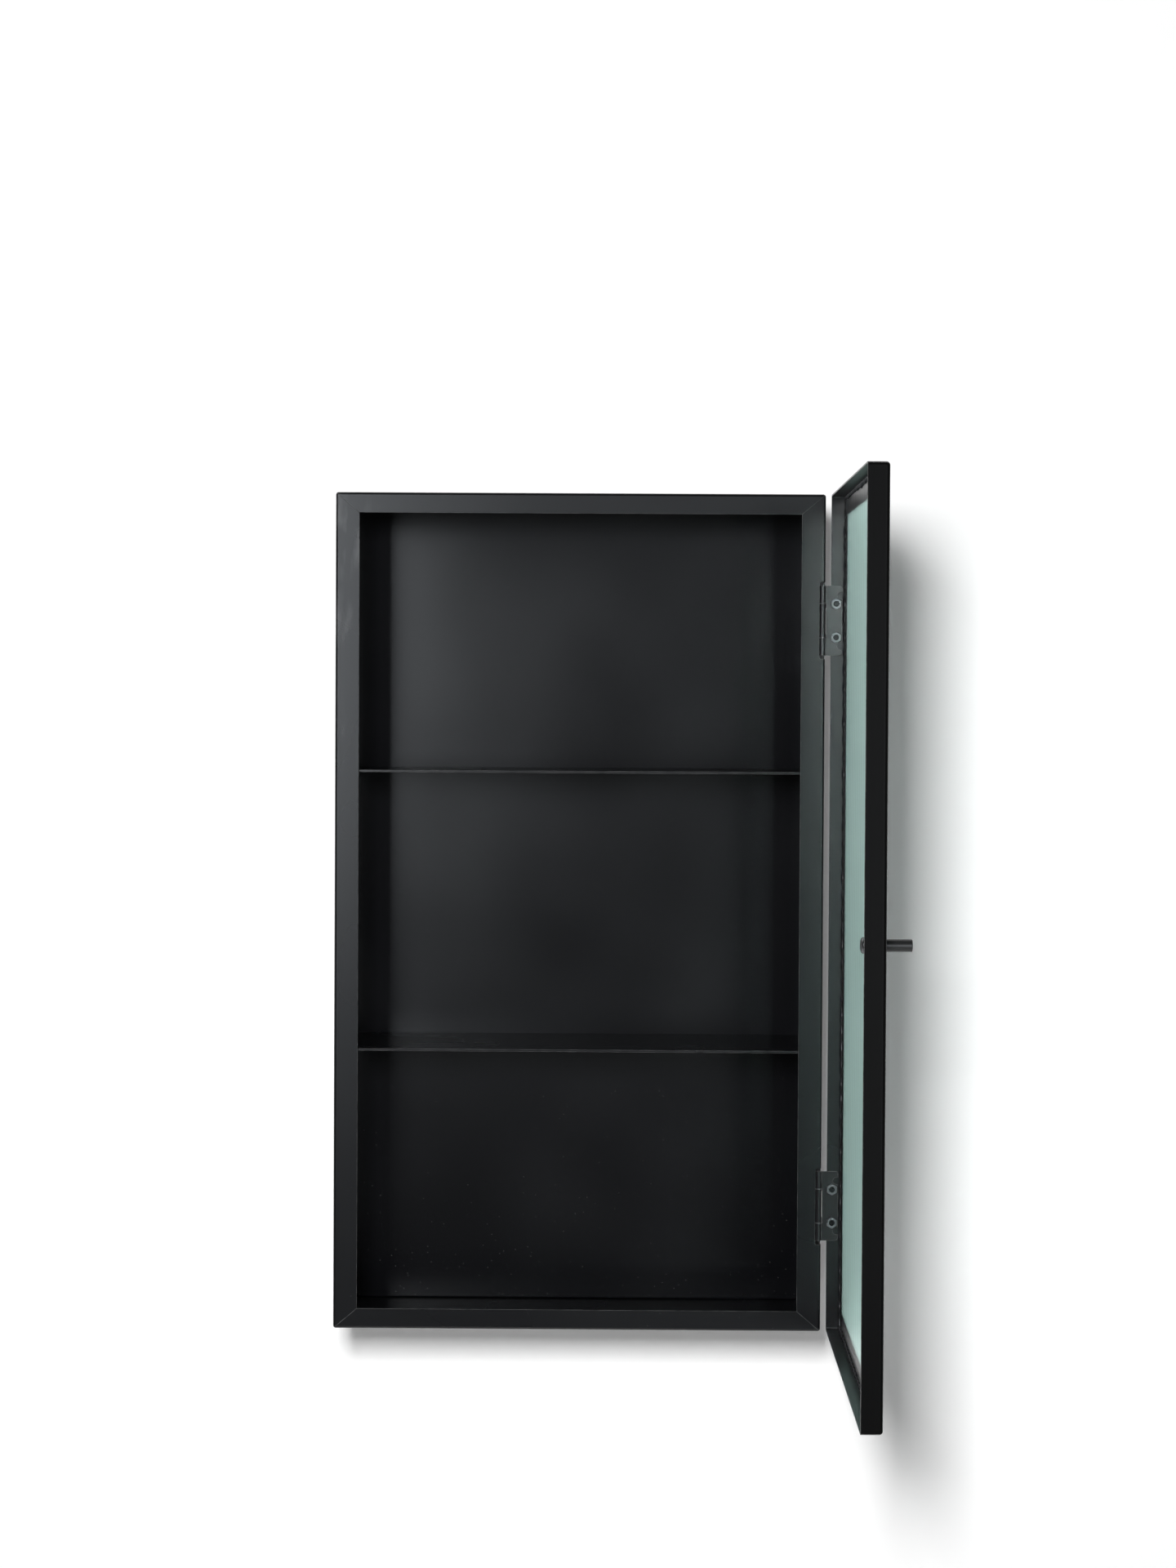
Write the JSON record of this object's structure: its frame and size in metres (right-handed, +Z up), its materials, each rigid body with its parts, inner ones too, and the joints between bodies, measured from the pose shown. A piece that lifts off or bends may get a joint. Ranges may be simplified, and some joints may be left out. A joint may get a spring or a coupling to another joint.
{
  "type": "medicine cabinet",
  "caption": "Wall-hung black steel bathroom cabinet with shelves, and a side-hinged framed door holding a green-tinted fluted glass pane and a small round knob.",
  "frame": {"origin": "midpoint between the two hanging holes, on the plane of the wall", "axes": "+X to the right seen from the front, +Y into the wall, +Z up; the front of the box faces -Y and the door stands open at rest"},
  "size_m": [0.3874, 0.4783, 0.6],
  "materials": {
    "box_paint": "satin black powder coat, very fine texture",
    "door_paint": "satin black powder coat, very fine texture",
    "hinge_steel": "semi-gloss black enamel",
    "fastener_steel": "black-plated steel with bright worn edges",
    "hanger_steel": "zinc-plated steel",
    "glass": "green-tinted glass, vertically fluted",
    "sealant": "glossy black silicone",
    "rubber": "matt black rubber",
    "knob_black": "matt black",
    "black_plastic": "matt black",
    "magnet": "nickel-plated"
  },
  "bodies": {
    "cabinet": {"left_side_panel": "box_paint", "right_side_panel": "box_paint", "top_panel": "box_paint", "bottom_panel": "box_paint", "back_panel": "box_paint", "upper_shelf": "box_paint", "upper_shelf_studs": "box_paint", "lower_shelf": "box_paint", "lower_shelf_studs": "box_paint", "left_wall_hanger": "hanger_steel", "right_wall_hanger": "hanger_steel", "upper_hinge_box_leaf": "hinge_steel", "upper_hinge_pin": "hinge_steel", "lower_hinge_box_leaf": "hinge_steel", "lower_hinge_pin": "hinge_steel", "box_hinge_bolts": "fastener_steel", "box_hinge_nuts": "fastener_steel"},
    "door": {"upper_hinge_door_leaf": "hinge_steel", "lower_hinge_door_leaf": "hinge_steel", "door_hinge_bolts": "fastener_steel", "door_hinge_nuts": "fastener_steel", "door_free_stile": "door_paint", "door_top_rail": "door_paint", "door_bottom_rail": "door_paint", "door_hinge_stile": "door_paint", "door_hinge_stile_leg": "door_paint", "glass_pane": "glass", "glass_sealant": "sealant", "knob": "knob_black", "knob_gasket": "rubber", "knob_washer": "rubber", "knob_spacer": "fastener_steel", "knob_screw": "fastener_steel", "catch_holder": "black_plastic", "catch_magnet": "magnet"}
  },
  "joints": [
    {"name": "door_swing", "type": "hinge", "parent": "cabinet", "child": "door", "pos_m": [0.1733, -0.13, -0.24], "axis": [0, 0, 1], "range_deg": [-90, 20]}
  ]
}
